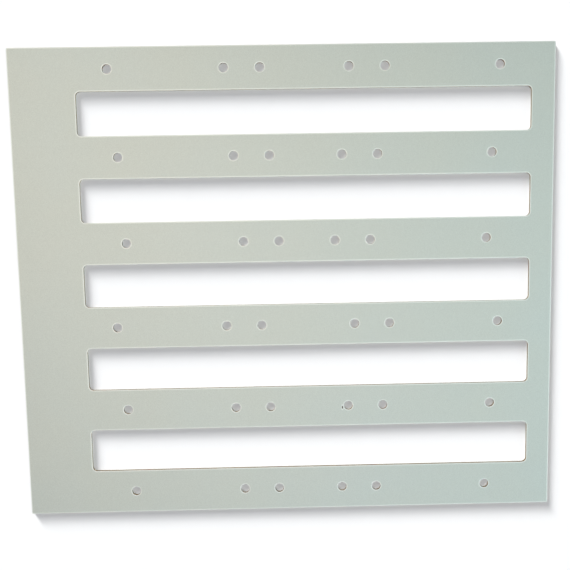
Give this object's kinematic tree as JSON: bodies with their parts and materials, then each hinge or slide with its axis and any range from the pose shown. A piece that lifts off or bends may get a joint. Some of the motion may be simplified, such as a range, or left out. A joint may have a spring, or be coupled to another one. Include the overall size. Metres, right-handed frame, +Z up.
{
  "type": "queen excluder",
  "caption": "Flat laminated fibreboard panel with long round-cornered windows and rows of round fixing holes, laid between two beehive boxes.",
  "frame": {"origin": "middle of the underside of the board, which lies on the hive box", "axes": "+X along the windows, towards the narrow rail; +Y across the windows, towards the first row of holes; +Z up, out of the facing that is seen"},
  "size_m": [0.48, 0.42, 0.003],
  "materials": {
    "facing": "satin decor laminate, pale grey-green, with fine orange peel",
    "facing_back": "satin balancing laminate, pale grey-green",
    "core": "raw dense fibreboard, routed edge, fine brown fibre"
  },
  "bodies": {
    "root": {"bottom_facing": "facing_back", "core_board": "core", "top_facing": "facing"}
  },
  "joints": []
}
